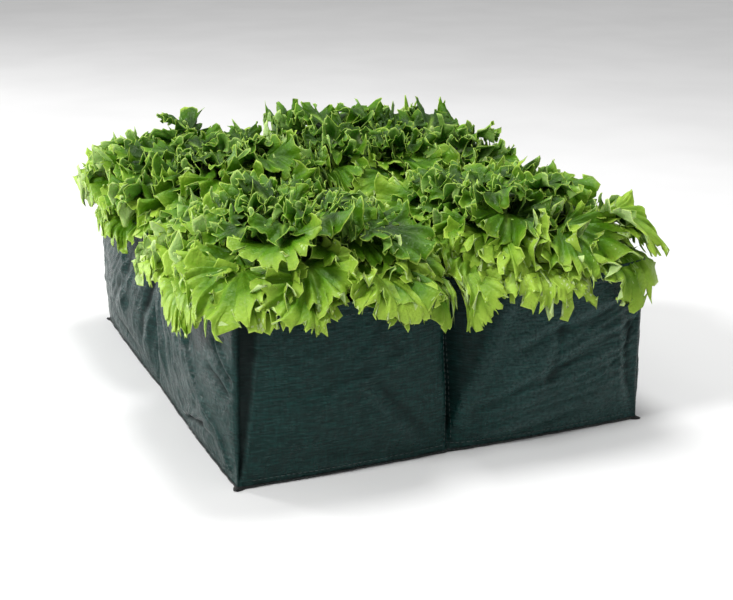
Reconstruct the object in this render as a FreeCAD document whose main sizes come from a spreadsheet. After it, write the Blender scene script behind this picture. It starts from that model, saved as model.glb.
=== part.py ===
import FreeCAD, Part
import os
import Sketcher

# A grow bag sewn from woven cloth: four wall panels on a base panel, with two lines of
# dividers that make four pockets.  Each pocket is filled with potting mix and holds one
# lettuce, which lifts straight out.  Millimetres, +Z up, origin on the ground at the middle
# of the base, X across the bag and Y along it.

SIZES = {
    "bag_width": 500.0,         # across the base, along X
    "bag_depth": 600.0,         # along the base, along Y
    "bag_height": 200.0,        # ground to rim
    "cloth": 0.8,               # one layer of woven cloth
    "seam_gap": 0.3,            # between two layers that are sewn together
    "belly_height": 95.0,       # height at which the filled walls are fullest
    "base_bow": 2.0,            # how far a pocket's wall bows out at the ground
    "belly_bow": 17.0,          # the same at the belly height
    "rim_bow": 12.0,            # the same at the rim
    "belly_pinch": 12.0,        # how far a divider pulls the wall in at the belly height
    "rim_pinch": 26.0,          # the same at the rim
    "divider_drop": 8.0,        # dividers stop this far under the rim
    "hem_height": 18.0,         # turned-over band along the rim
    "binding_height": 6.0,      # tape sewn round the base seam
    "binding_tape": 1.4,        # thickness of that tape
    "mix_drop": 28.0,           # rim down to the top of the potting mix
    "mix_gap": 1.0,             # potting mix to cloth
    "plug_depth": 65.0,         # root plug, top to bottom
    "plug_top_radius": 32.0,
    "plug_bottom_radius": 26.0,
    "plug_gap": 1.5,            # root plug to the planting hole
    "stem_radius": 15.0,
    "leaf_lift": 5.0,           # rim to the underside of the leaves
    "leaf_reach_across": 155.0, # middle of a head to its outermost leaves, along X
    "leaf_reach_along": 165.0,  # the same along Y
    "leaf_dome": 75.0,          # height of the outer leaves' full dome
    "shoulder": 45.0,           # underside of the leaves to where the heart starts
    "heart_radius": 82.0,
    "heart_rise": 42.0,         # the heart above the shoulder
    "head_gap": 2.0,            # a head to the plane of the divider
}

document = FreeCAD.newDocument("grow_bag")
sheet = document.addObject("Spreadsheet::Sheet", "Sizes")
for row, (alias, size) in enumerate(SIZES.items(), start=1):
    sheet.set(f"A{row}", alias)
    sheet.set(f"B{row}", str(size))
    sheet.setAlias(f"B{row}", alias)
document.recompute()

HALF_WIDTH = "Sizes.bag_width / 2"
HALF_DEPTH = "Sizes.bag_depth / 2"
MIX_TOP = "(Sizes.bag_height - Sizes.mix_drop)"
LEAF_UNDERSIDE = "(Sizes.bag_height + Sizes.leaf_lift)"
SHOULDER_HEIGHT = f"({LEAF_UNDERSIDE} + Sizes.shoulder)"
pieces = []


def number(expression):
    return float(sheet.evalExpression(expression))


def bind(item, **expressions):
    for name, expression in expressions.items():
        item.setExpression(name, expression)


def place_piece(item, x, y, z):
    for axis, expression in zip("xyz", (x, y, z)):
        item.setExpression(f"Placement.Base.{axis}", expression)


def finish_piece(item, label):
    item.Label = label
    pieces.append(item)
    return item


def between(low, high, height):
    """Height, bow and pinch of a filled wall at a height between two of its levels."""
    share = f"((({height}) - {low[0]}) / ({high[0]} - {low[0]}))"
    bow = f"({low[1]} + {share} * ({high[1]} - {low[1]}))"
    pinch = f"({low[2]} + {share} * ({high[2]} - {low[2]}))"
    return (height, bow, pinch)


# Levels of the filled walls: height, how far each pocket bows out, how far the divider pinches.
GROUND = ("0", "Sizes.base_bow", "0")
FOOT = ("Sizes.cloth", "Sizes.base_bow", "0")
BELLY = ("Sizes.belly_height", "Sizes.belly_bow", "Sizes.belly_pinch")
RIM = ("Sizes.bag_height", "Sizes.rim_bow", "Sizes.rim_pinch")


def origin_plane(body, role):
    for feature in body.Origin.OriginFeatures:
        if feature.Role == role:
            return feature
    raise ValueError(role)


def draw_outline(body, name, corners, bows=None, plane="XY_Plane", height="0"):
    """A closed outline through corners, each a pair of expressions, counter-clockwise.

    bows holds, for the edge that leaves each corner, None where it is straight, or how far
    its arc bows and +1 where it bows out of the outline or -1 where it bows in.
    """
    sketch = body.newObject("Sketcher::SketchObject", name)
    sketch.AttachmentSupport = [(origin_plane(body, plane), "")]
    sketch.MapMode = "FlatFace"
    sketch.setExpression("AttachmentOffset.Base.z", height)
    count = len(corners)
    bows = bows or [None] * count
    points = [FreeCAD.Vector(number(x), number(y), 0) for x, y in corners]
    ends = []
    for index, bow in enumerate(bows):
        start = points[index]
        end = points[(index + 1) % count]
        if bow is None:
            sketch.addGeometry(Part.LineSegment(start, end))
            ends.append((1, 2))
            continue
        along = (end - start).normalize()
        outward = FreeCAD.Vector(along.y, -along.x, 0)
        middle = (start + end) / 2 + outward * (number(bow[0]) * bow[1])
        sketch.addGeometry(Part.Arc(start, middle, end))
        ends.append((1, 2) if bow[1] > 0 else (2, 1))
    for index, (x, y) in enumerate(corners):
        following = (index + 1) % count
        joined = ("Coincident", index, ends[index][1], following, ends[following][0])
        sketch.addConstraint(Sketcher.Constraint(*joined))
        for kind, place in (("DistanceX", x), ("DistanceY", y)):
            fixed = (kind, -1, 1, index, ends[index][0], number(place))
            constraint = sketch.addConstraint(Sketcher.Constraint(*fixed))
            sketch.setExpression(f"Constraints[{constraint}]", place)
    for index, bow in enumerate(bows):
        if bow is None:
            continue
        (x0, y0), (x1, y1) = corners[index], corners[(index + 1) % count]
        chord_squared = f"((({x1}) - ({x0}))^2 + (({y1}) - ({y0}))^2)"
        radius = f"{chord_squared} / (8 * {bow[0]}) + {bow[0]} / 2"
        constraint = sketch.addConstraint(Sketcher.Constraint("Radius", index, number(radius)))
        sketch.setExpression(f"Constraints[{constraint}]", radius)
    return sketch


def loft(body, sketches):
    document.recompute()
    skin = body.newObject("PartDesign::AdditiveLoft", "Loft")
    skin.Profile = sketches[0]
    skin.Sections = sketches[1:]
    skin.Ruled = True
    return skin


# Each side of the bag, seen from outside with its wall upright: how a distance along the
# wall and a distance out from the middle of the bag become X and Y, and the two half sizes.
SIDES = {
    "front": (lambda along, out: (along, f"-({out})"), HALF_WIDTH, HALF_DEPTH),
    "right": (lambda along, out: (out, along), HALF_DEPTH, HALF_WIDTH),
    "back": (lambda along, out: (f"-({along})", out), HALF_WIDTH, HALF_DEPTH),
    "left": (lambda along, out: (f"-({out})", f"-({along})"), HALF_DEPTH, HALF_WIDTH),
}


def make_band(label, side, levels, thickness, standoff, extra):
    """A strip of cloth round one side: bowed over both pockets, pinched in at the divider.

    standoff is how far its outer face stands out from the wall's, and extra is how much
    longer each end is than half the side.
    """
    place, half_length, half_out = SIDES[side]
    body = document.addObject("PartDesign::Body", label)
    sketches = []
    for index, (height, bow, pinch) in enumerate(levels):
        end = f"{half_length} + {extra}"
        outer = f"{half_out} + {standoff}"
        inner = f"{outer} - {thickness}"
        corners = [
            place(f"-({end})", outer),
            place("0", f"{outer} - {pinch}"),
            place(end, outer),
            place(end, inner),
            place("0", f"{inner} - {pinch}"),
            place(f"-({end})", inner),
        ]
        bows = [(bow, 1), (bow, 1), None, (bow, -1), (bow, -1), None]
        sketches.append(draw_outline(body, f"Level{index}", corners, bows, height=height))
    loft(body, sketches)
    return finish_piece(body, label)


def make_walls():
    levels = [FOOT, BELLY, RIM]
    for side in SIDES:
        butted = side in ("left", "right")
        extra = "-(Sizes.cloth + Sizes.seam_gap)" if butted else "0"
        make_band(f"wall_{side}", side, levels, "Sizes.cloth", "0", extra)


def make_rim_hems():
    levels = [between(BELLY, RIM, "(Sizes.bag_height - Sizes.hem_height)"), RIM]
    standoff = "(Sizes.cloth + Sizes.seam_gap)"
    for side in SIDES:
        extra = "0" if side in ("left", "right") else standoff
        make_band(f"rim_hem_{side}", side, levels, "Sizes.cloth", standoff, extra)


def make_base_binding():
    levels = [GROUND, between(FOOT, BELLY, "Sizes.binding_height")]
    standoff = "(Sizes.binding_tape + Sizes.seam_gap)"
    for side in SIDES:
        extra = "0" if side in ("left", "right") else standoff
        make_band(f"base_binding_{side}", side, levels, "Sizes.binding_tape", standoff, extra)


def make_base_panel():
    body = document.addObject("PartDesign::Body", "base_panel")
    corners = []
    for place, half_length, half_out in SIDES.values():
        corners.append(place(f"-({half_length})", half_out))
        corners.append(place("0", half_out))
    bows = [("Sizes.base_bow", 1)] * len(corners)
    outline = draw_outline(body, "Outline", corners, bows)
    document.recompute()
    pad = body.newObject("PartDesign::Pad", "Pad")
    pad.Profile = outline
    bind(pad, Length="Sizes.cloth")
    finish_piece(body, "base_panel")


def divider_edge(half_out):
    """Distances out and heights of a divider's sewn edge, from the ground up."""
    clear = f"({half_out} - Sizes.cloth - Sizes.seam_gap)"
    top = between(BELLY, RIM, "(Sizes.bag_height - Sizes.divider_drop)")
    return [
        (clear, "(Sizes.cloth + Sizes.seam_gap)"),
        (f"({clear} - {BELLY[2]})", BELLY[0]),
        (f"({clear} - {top[2]})", top[0]),
    ]


def make_divider(label, corners, plane):
    body = document.addObject("PartDesign::Body", label)
    outline = draw_outline(body, "Outline", corners, plane=plane)
    document.recompute()
    pad = body.newObject("PartDesign::Pad", "Pad")
    pad.Profile = outline
    pad.Midplane = True
    bind(pad, Length="Sizes.cloth")
    finish_piece(body, label)


def make_dividers():
    along = divider_edge(HALF_DEPTH)
    mirrored = [(f"-{out}", height) for out, height in reversed(along)]
    make_divider("divider_long", along + mirrored, "YZ_Plane")
    across = divider_edge(HALF_WIDTH)
    inner_edge = "(Sizes.cloth / 2 + Sizes.seam_gap)"
    inner = [(inner_edge, across[2][1]), (inner_edge, across[0][1])]
    right_half = across + inner
    make_divider("divider_short_right", right_half, "XZ_Plane")
    left_half = [(f"-{out}", height) for out, height in reversed(right_half)]
    make_divider("divider_short_left", left_half, "XZ_Plane")


# The four pockets, named by where they are, with the signs of X and Y.
POCKETS = {
    "front_left": (-1, -1),
    "front_right": (1, -1),
    "back_right": (1, 1),
    "back_left": (-1, 1),
}


def signed(sign, expression):
    return f"{sign} * ({expression})"


def head_place(signs):
    """X and Y of the middle of a pocket, where its lettuce stands."""
    return signed(signs[0], "Sizes.bag_width / 4"), signed(signs[1], "Sizes.bag_depth / 4")


def make_potting_mix(pocket, signs):
    label = f"potting_mix_{pocket}"
    body = document.addObject("PartDesign::Body", label)
    inset = "(Sizes.cloth + Sizes.mix_gap)"
    middle = "(Sizes.cloth / 2 + Sizes.mix_gap)"
    levels = [(inset, FOOT[1], FOOT[2]), BELLY, between(BELLY, RIM, MIX_TOP)]
    sketches = []
    for index, (height, bow, pinch) in enumerate(levels):
        corner = (f"{HALF_WIDTH} - {inset}", f"{HALF_DEPTH} - {inset}")
        end_seam = (middle, f"{HALF_DEPTH} - {inset} - {pinch}")
        side_seam = (f"{HALF_WIDTH} - {inset} - {pinch}", middle)
        corners = [corner, end_seam, (middle, middle), side_seam]
        if signs[0] * signs[1] < 0:
            corners = [corner, side_seam, (middle, middle), end_seam]
        corners = [(signed(signs[0], x), signed(signs[1], y)) for x, y in corners]
        bows = [(bow, 1), None, None, (bow, 1)]
        sketches.append(draw_outline(body, f"Level{index}", corners, bows, height=height))
    loft(body, sketches)
    document.recompute()
    hole = body.newObject("PartDesign::SubtractiveCone", "PlantingHole")
    bind(hole, Radius1="Sizes.plug_bottom_radius + Sizes.plug_gap")
    bind(hole, Radius2="Sizes.plug_top_radius + Sizes.plug_gap")
    bind(hole, Height="Sizes.plug_depth + Sizes.plug_gap")
    place_piece(hole, *head_place(signs), f"{MIX_TOP} - Sizes.plug_depth - Sizes.plug_gap")
    finish_piece(body, label)


def make_dome(label, radii, block, x, y, z, block_corner):
    """The part of an ellipsoid, centred at x, y and z, that lies in a block."""
    dome = document.addObject("Part::Ellipsoid", f"{label}_ellipsoid")
    bind(dome, Radius2=radii[0], Radius3=radii[1], Radius1=radii[2])
    place_piece(dome, x, y, z)
    limits = document.addObject("Part::Box", f"{label}_limits")
    bind(limits, Length=block[0], Width=block[1], Height=block[2])
    place_piece(limits, *block_corner)
    common = document.addObject("Part::Common", label)
    common.Base = dome
    common.Tool = limits
    return finish_piece(common, label)


def leaf_block(sign, half_size, reach):
    """Length and low end of the stretch that a head may fill, from its divider outwards."""
    length = f"({half_size} / 2 + {reach})"
    low = "Sizes.head_gap" if sign > 0 else f"-(Sizes.head_gap + {length})"
    return length, low


def make_lettuce(pocket, signs):
    """Root plug, stem, outer leaves and heart: one plant, standing in its pocket."""
    name = f"lettuce_{pocket}"
    x, y = head_place(signs)
    plug = document.addObject("Part::Cone", f"{name}_root_plug")
    bind(plug, Radius1="Sizes.plug_bottom_radius", Radius2="Sizes.plug_top_radius")
    bind(plug, Height="Sizes.plug_depth")
    place_piece(plug, x, y, f"{MIX_TOP} - Sizes.plug_depth")
    finish_piece(plug, f"{name}_root_plug")

    stem = document.addObject("Part::Cylinder", f"{name}_stem")
    bind(stem, Radius="Sizes.stem_radius", Height=f"{LEAF_UNDERSIDE} - {MIX_TOP}")
    place_piece(stem, x, y, MIX_TOP)
    finish_piece(stem, f"{name}_stem")

    across, low_x = leaf_block(signs[0], HALF_WIDTH, "Sizes.leaf_reach_across")
    along, low_y = leaf_block(signs[1], HALF_DEPTH, "Sizes.leaf_reach_along")
    outer_radii = ("Sizes.leaf_reach_across", "Sizes.leaf_reach_along", "Sizes.leaf_dome")
    outer_block = (across, along, "Sizes.shoulder")
    outer_corner = (low_x, low_y, LEAF_UNDERSIDE)
    make_dome(f"{name}_outer_leaves", outer_radii, outer_block, x, y, LEAF_UNDERSIDE, outer_corner)

    heart_radii = ("Sizes.heart_radius", "Sizes.heart_radius", "Sizes.heart_rise")
    heart_block = (across, along, "Sizes.heart_rise")
    heart_corner = (low_x, low_y, SHOULDER_HEIGHT)
    make_dome(f"{name}_heart", heart_radii, heart_block, x, y, SHOULDER_HEIGHT, heart_corner)


def check_document():
    for item in document.Objects:
        for problem in ("Invalid", "Error"):
            if problem in item.State:
                raise RuntimeError(f"{item.Label}: {item.State}")
    for piece in pieces:
        if piece.Shape.isNull() or not piece.Shape.isValid():
            raise RuntimeError(f"{piece.Label}: its shape is not valid")


def write_pieces():
    os.makedirs("parts", exist_ok=True)
    for piece in pieces:
        piece.Shape.exportStep(f"parts/{piece.Label}.step")


make_base_panel()
make_walls()
make_rim_hems()
make_base_binding()
make_dividers()
for pocket_name, pocket_signs in POCKETS.items():
    make_potting_mix(pocket_name, pocket_signs)
    make_lettuce(pocket_name, pocket_signs)
document.recompute()
check_document()
write_pieces()
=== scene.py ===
import itertools
import math
import bpy
import numpy as np
from mathutils import Matrix, Vector


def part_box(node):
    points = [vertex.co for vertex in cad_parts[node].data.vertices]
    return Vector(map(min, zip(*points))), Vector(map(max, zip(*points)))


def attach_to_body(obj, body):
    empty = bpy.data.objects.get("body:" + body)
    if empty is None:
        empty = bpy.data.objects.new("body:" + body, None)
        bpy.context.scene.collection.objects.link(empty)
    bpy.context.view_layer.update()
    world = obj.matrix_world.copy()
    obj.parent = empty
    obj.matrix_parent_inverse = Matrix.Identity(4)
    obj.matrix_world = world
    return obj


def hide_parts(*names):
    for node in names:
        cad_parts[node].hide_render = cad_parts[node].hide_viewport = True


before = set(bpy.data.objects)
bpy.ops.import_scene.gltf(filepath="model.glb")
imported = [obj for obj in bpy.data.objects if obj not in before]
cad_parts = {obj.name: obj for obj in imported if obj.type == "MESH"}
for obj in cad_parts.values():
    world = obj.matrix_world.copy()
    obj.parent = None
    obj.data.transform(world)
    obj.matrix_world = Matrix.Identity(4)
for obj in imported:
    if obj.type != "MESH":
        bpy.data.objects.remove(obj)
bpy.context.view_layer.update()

MM = 0.001
POCKETS = {"front_left": (-1, -1), "front_right": (1, -1), "back_right": (1, 1), "back_left": (-1, 1)}
SIDES = ("front", "right", "back", "left")

# Sizes worked out from the frame, in metres.
HALF_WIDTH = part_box("wall_front")[1][0]
HALF_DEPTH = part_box("base_binding_left")[1][1]
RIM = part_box("wall_front")[1][2]
MIX_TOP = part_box("potting_mix_front_left")[1][2]
HEAD_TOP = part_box("lettuce_front_left_heart")[1][2]
BINDING_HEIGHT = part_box("base_binding_front")[1][2]
HEM_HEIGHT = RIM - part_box("rim_hem_front")[0][2]
DIVIDER_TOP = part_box("divider_long")[1][2]
CLOTH = 0.6 * MM


# ---------------------------------------------------------------- noise and small sums

def hashed(cells, seed):
    """A number from -1 to 1 for each whole-number cell, the same on every run."""
    mixed = cells[..., 0] * 73856093 ^ cells[..., 1] * 19349663 ^ cells[..., 2] * 83492791
    mixed = (mixed ^ (seed * 2654435761)) & 0x7FFFFFFF
    mixed = ((mixed ^ (mixed >> 13)) * 1274126177) & 0x7FFFFFFF
    mixed = mixed ^ (mixed >> 15)
    return mixed / 0x3FFFFFFF - 1


def smooth_noise(points, scale, seed):
    """Smooth noise from -1 to 1, with features about scale metres across (one per axis)."""
    cells = np.asarray(points, float) / np.asarray(scale, float)
    low = np.floor(cells).astype(np.int64)
    part = cells - low
    part = part * part * (3 - 2 * part)
    total = np.zeros(cells.shape[:-1])
    for corner in itertools.product((0, 1), repeat=3):
        weight = np.ones(cells.shape[:-1])
        for axis, high in enumerate(corner):
            weight = weight * (part[..., axis] if high else 1 - part[..., axis])
        total += weight * hashed(low + np.array(corner), seed)
    return total


def layered_noise(points, scale, seed, layers=3):
    total = 0
    for layer in range(layers):
        total = total + smooth_noise(points, np.asarray(scale) / 2**layer, seed + layer) / 2**layer
    return total


def smoothstep(value, low, high):
    share = np.clip((value - low) / (high - low), 0, 1)
    return share * share * (3 - 2 * share)


def unit(vectors):
    return vectors / np.maximum(np.linalg.norm(vectors, axis=-1, keepdims=True), 1e-12)


# ---------------------------------------------------------------- meshes from grids

def grid_normals(points):
    across = np.gradient(points, axis=1)
    along = np.gradient(points, axis=0)
    return unit(np.cross(across, along))


def grid_quads(rows, columns):
    first = np.arange(rows - 1)[:, None] * columns + np.arange(columns - 1)[None, :]
    quads = np.stack([first, first + 1, first + columns + 1, first + columns], axis=-1)
    return quads.reshape(-1, 4)


def grid_rim(rows, columns):
    """Quads that join the border of a grid to the border of a second grid numbered after it."""
    border = np.concatenate([
        np.arange(columns),
        np.arange(1, rows) * columns + columns - 1,
        np.arange(columns - 2, -1, -1) + (rows - 1) * columns,
        np.arange(rows - 2, 0, -1) * columns,
    ])
    following = np.roll(border, -1)
    second = rows * columns
    return np.stack([border + second, following + second, following, border], axis=-1)


def pack_charts(sizes, gap=0.012):
    """Places rectangles of the given sizes in rows inside a unit square: corner and scale."""
    total = math.sqrt(sum(w * h for w, h in sizes))
    for stretch in (1.05, 1.12, 1.2, 1.3, 1.45, 1.6, 1.9, 2.4, 3.2, 5.0, 8.0):
        side = total * stretch
        margin = gap * side
        places = {}
        x = y = margin
        row = 0
        for index in sorted(range(len(sizes)), key=lambda i: -sizes[i][1]):
            width, height = sizes[index]
            if x + width + margin > side:
                x = margin
                y += row + margin
                row = 0
            places[index] = (x, y)
            x += width + margin
            row = max(row, height)
        if y + row + margin <= side and max(w for w, _ in sizes) + 2 * margin <= side:
            return [(places[i][0] / side, places[i][1] / side, 1 / side) for i in range(len(sizes))]
    raise ValueError("charts do not fit")


class Shells:
    """Thin closed shells, each grown from a grid of points, gathered into one mesh."""

    def __init__(self):
        self.grids = []

    def add(self, points, thickness, under=0, over=0, edge=None, **attributes):
        """points is a grid (rows, columns, 3) seen from its outer side; over, under and edge
        are the material numbers of its outer face, inner face and rim."""
        edge = over if edge is None else edge
        self.grids.append((points, thickness, (over, under, edge), attributes))

    def build(self, name, materials, attribute_names):
        vertices, faces, uvs, numbers = [], [], [], []
        values = {key: [] for key in attribute_names}
        sizes = []
        for points, _, _, _ in self.grids:
            lengths = np.linalg.norm(np.diff(points, axis=1), axis=-1).sum(axis=1).max()
            heights = np.linalg.norm(np.diff(points, axis=0), axis=-1).sum(axis=0).max()
            sizes += [(lengths, heights)] * 2
        charts = pack_charts(sizes)
        start = 0
        for index, (points, thickness, slots, attributes) in enumerate(self.grids):
            rows, columns, _ = points.shape
            count = rows * columns
            thick = np.broadcast_to(thickness, (rows, columns))[..., None]
            inner = points - grid_normals(points) * thick
            vertices += [points.reshape(-1, 3), inner.reshape(-1, 3)]
            quads = grid_quads(rows, columns)
            rim = grid_rim(rows, columns)
            following, border = rim[:, 2], rim[:, 3]
            faces += [quads + start, quads[:, ::-1] + count + start, rim + start]
            numbers += [np.full(len(quads), slots[0]), np.full(len(quads), slots[1]),
                        np.full(len(rim), slots[2])]
            across, down = np.meshgrid(np.linspace(0, 1, columns), np.linspace(0, 1, rows))
            place = []
            for side in range(2):
                x, y, scale = charts[2 * index + side]
                width, height = sizes[2 * index + side]
                place.append(np.stack([x + across * width * scale, y + down * height * scale], -1))
            outer_uv, inner_uv = (p.reshape(-1, 2) for p in place)
            middle = outer_uv.mean(axis=0)
            lip = outer_uv + unit(outer_uv - middle) * 0.002
            uvs += [outer_uv[quads], inner_uv[quads[:, ::-1]],
                    np.stack([lip[border], lip[following], outer_uv[following], outer_uv[border]], 1)]
            for key in attribute_names:
                value = np.broadcast_to(attributes.get(key, 0.0), (rows, columns)).reshape(-1)
                values[key] += [value, value]
            start += 2 * count
        return mesh_piece(name, np.concatenate(vertices), np.concatenate(faces), materials,
                          np.concatenate(numbers), np.concatenate(uvs).reshape(-1, 2),
                          {key: np.concatenate(value) for key, value in values.items()})


def mesh_piece(name, vertices, faces, materials, numbers=None, uvs=None, attributes=None, smooth=True):
    """An object from arrays: quads or triangles, material numbers, UVs for each corner, floats
    for each vertex."""
    mesh = bpy.data.meshes.new(name)
    sides = faces.shape[1]
    mesh.vertices.add(len(vertices))
    mesh.vertices.foreach_set("co", np.asarray(vertices, np.float32).ravel())
    mesh.loops.add(len(faces) * sides)
    mesh.loops.foreach_set("vertex_index", faces.astype(np.int32).ravel())
    mesh.polygons.add(len(faces))
    mesh.polygons.foreach_set("loop_start", np.arange(0, len(faces) * sides, sides, dtype=np.int32))
    mesh.update(calc_edges=True)
    mesh.polygons.foreach_set("use_smooth", np.full(len(faces), smooth))
    for material in materials:
        mesh.materials.append(material)
    if numbers is not None:
        mesh.polygons.foreach_set("material_index", numbers.astype(np.int32))
    if uvs is not None:
        layer = mesh.uv_layers.new(name="OFBake")
        layer.data.foreach_set("uv", np.asarray(uvs, np.float32).ravel())
    for key, value in (attributes or {}).items():
        layer = mesh.attributes.new(key, "FLOAT", "POINT")
        layer.data.foreach_set("value", np.asarray(value, np.float32))
    mesh.validate()
    mesh.update()
    piece = bpy.data.objects.new(name, mesh)
    bpy.context.collection.objects.link(piece)
    return piece


def attach(piece, body, slot, *nodes):
    """Rides a piece on a body; it stands for the nodes, if any. The slot is not used."""
    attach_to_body(piece, body)
    for node in nodes:
        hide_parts(node)


# ---------------------------------------------------------------- materials

class Nodes:
    """A material's node tree, with short ways to add and join its nodes."""

    def __init__(self, name):
        self.material = bpy.data.materials.new(name)
        self.material.use_nodes = True
        self.tree = self.material.node_tree
        self.shader = self.tree.nodes["Principled BSDF"]

    def add(self, kind, **inputs):
        node = self.tree.nodes.new(kind)
        for key, value in inputs.items():
            name = key.replace("_", " ")
            self.set(node, name if name in node.inputs else key, value)
        return node

    def set(self, node, socket, value):
        if isinstance(value, bpy.types.NodeSocket):
            self.tree.links.new(value, node.inputs[socket])
        else:
            node.inputs[socket].default_value = value

    def attribute(self, name):
        node = self.tree.nodes.new("ShaderNodeAttribute")
        node.attribute_name = name
        return node.outputs["Fac"]

    def place(self):
        return self.tree.nodes.new("ShaderNodeTexCoord").outputs["Object"]

    def sums(self, operation, first, second=0.0, third=0.0):
        node = self.tree.nodes.new("ShaderNodeMath")
        node.operation = operation
        for index, value in enumerate((first, second, third)):
            self.set(node, index, value)
        return node.outputs[0]

    def combine(self, x, y, z=0.0):
        node = self.add("ShaderNodeCombineXYZ", X=x, Y=y, Z=z)
        return node.outputs[0]

    def noise(self, vector, scale, detail=3.0, roughness=0.55):
        node = self.add("ShaderNodeTexNoise", Vector=vector, Scale=scale, Detail=detail,
                        Roughness=roughness)
        return node.outputs["Fac"]

    def ramp(self, factor, *stops):
        node = self.add("ShaderNodeValToRGB", Fac=factor)
        while len(node.color_ramp.elements) < len(stops):
            node.color_ramp.elements.new(0.5)
        for element, (position, color) in zip(node.color_ramp.elements, stops):
            element.position = position
            element.color = (*color, 1.0)
        return node.outputs["Color"]

    def spread(self, factor, low, high, to_low=0.0, to_high=1.0):
        node = self.add("ShaderNodeMapRange")
        node.interpolation_type = "SMOOTHSTEP"
        for index, value in enumerate((factor, low, high, to_low, to_high)):
            self.set(node, index, value)
        return node.outputs[0]

    def mix(self, factor, first, second):
        node = self.tree.nodes.new("ShaderNodeMix")
        node.data_type = "RGBA"
        node.clamp_factor = True
        for socket, value in ((0, factor), (6, first), (7, second)):
            if isinstance(value, tuple) and len(value) == 3:
                value = (*value, 1.0)
            self.set(node, socket, value)
        return node.outputs[2]

    def bump(self, height, distance, strength=1.0, normal=None):
        node = self.add("ShaderNodeBump", Height=height, Distance=distance, Strength=strength)
        if normal is not None:
            self.set(node, "Normal", normal)
        return node.outputs["Normal"]

    def finish(self, **sockets):
        for key, value in sockets.items():
            if isinstance(value, tuple) and len(value) == 3 and key == "Base_Color":
                value = (*value, 1.0)
            self.set(self.shader, key.replace("_", " "), value)
        return self.material


def weave_height(nodes, along, height, pitch):
    """Flat tapes crossing over and under each other, pitch metres apart."""
    turns = 2 * math.pi / pitch
    across = nodes.sums("SINE", nodes.sums("MULTIPLY", along, turns))
    up = nodes.sums("SINE", nodes.sums("MULTIPLY", height, turns))
    crossing = nodes.sums("MULTIPLY", across, up)
    ridges = nodes.sums("ABSOLUTE", up)
    return nodes.sums("ADD", nodes.sums("MULTIPLY", crossing, 0.5), nodes.sums("MULTIPLY", ridges, 0.35))


def woven_material(name, dark, light, worn, pitch, streaks, roughness=0.46, sheen=0.08, gloss=0.3):
    """Woven polyethylene tape cloth: crossing tapes, streaks along the weave, worn creases, and painted
    shade wherever the wear attribute falls below 0.
    """
    nodes = Nodes(name)
    along, height, wear = (nodes.attribute(key) for key in ("along", "height", "wear"))
    place = nodes.combine(along, height)
    stretched = nodes.combine(nodes.sums("MULTIPLY", along, 0.12), height)
    upright = nodes.combine(along, nodes.sums("MULTIPLY", height, 0.12))
    streak = nodes.noise(stretched, 420.0, 3.0, 0.6)
    upright_streak = nodes.noise(upright, 420.0, 2.0, 0.6)
    cloudy = nodes.noise(place, 9.0, 4.0, 0.6)
    weave = weave_height(nodes, along, height, pitch)
    both = nodes.sums("ADD", nodes.sums("MULTIPLY", streak, 0.65),
                      nodes.sums("MULTIPLY", upright_streak, 0.35))
    color = nodes.mix(nodes.spread(both, 0.4, 0.68), dark, light)
    color = nodes.mix(nodes.sums("MULTIPLY", nodes.spread(cloudy, 0.35, 0.75), 0.35), color, dark)
    scuff = nodes.sums("MULTIPLY", nodes.spread(nodes.noise(stretched, 900.0, 2.0), 0.55, 0.72), streaks)
    color = nodes.mix(scuff, color, worn)
    ragged = nodes.spread(nodes.noise(place, 260.0, 3.0), 0.3, 0.65)
    color = nodes.mix(nodes.sums("MULTIPLY", nodes.sums("MULTIPLY", wear, ragged), 0.85), color, worn)
    # Painted shade: where the wear attribute is below 0 the cloth is darkened towards near black, in
    # crease valleys, the seam tuck and the corner fold.
    color = nodes.mix(nodes.sums("MULTIPLY", wear, -0.8), color, (0.001, 0.003, 0.003))
    rough = nodes.spread(nodes.noise(place, 60.0, 3.0), 0.3, 0.7, roughness - 0.06, roughness + 0.1)
    duller = nodes.sums("MULTIPLY", nodes.sums("MINIMUM", wear, 0.12), -0.36)
    rough = nodes.sums("ADD", rough, duller)
    normal = nodes.bump(weave, 0.0003, 0.7)
    normal = nodes.bump(streak, 0.0016, 0.8, normal)
    normal = nodes.bump(nodes.noise(place, 170.0, 3.0, 0.6), 0.0022, 0.6, normal)
    return nodes.finish(Base_Color=color, Roughness=rough, Normal=normal, Specular_IOR_Level=gloss,
                        Sheen_Weight=sheen, Sheen_Roughness=0.4)


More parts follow.
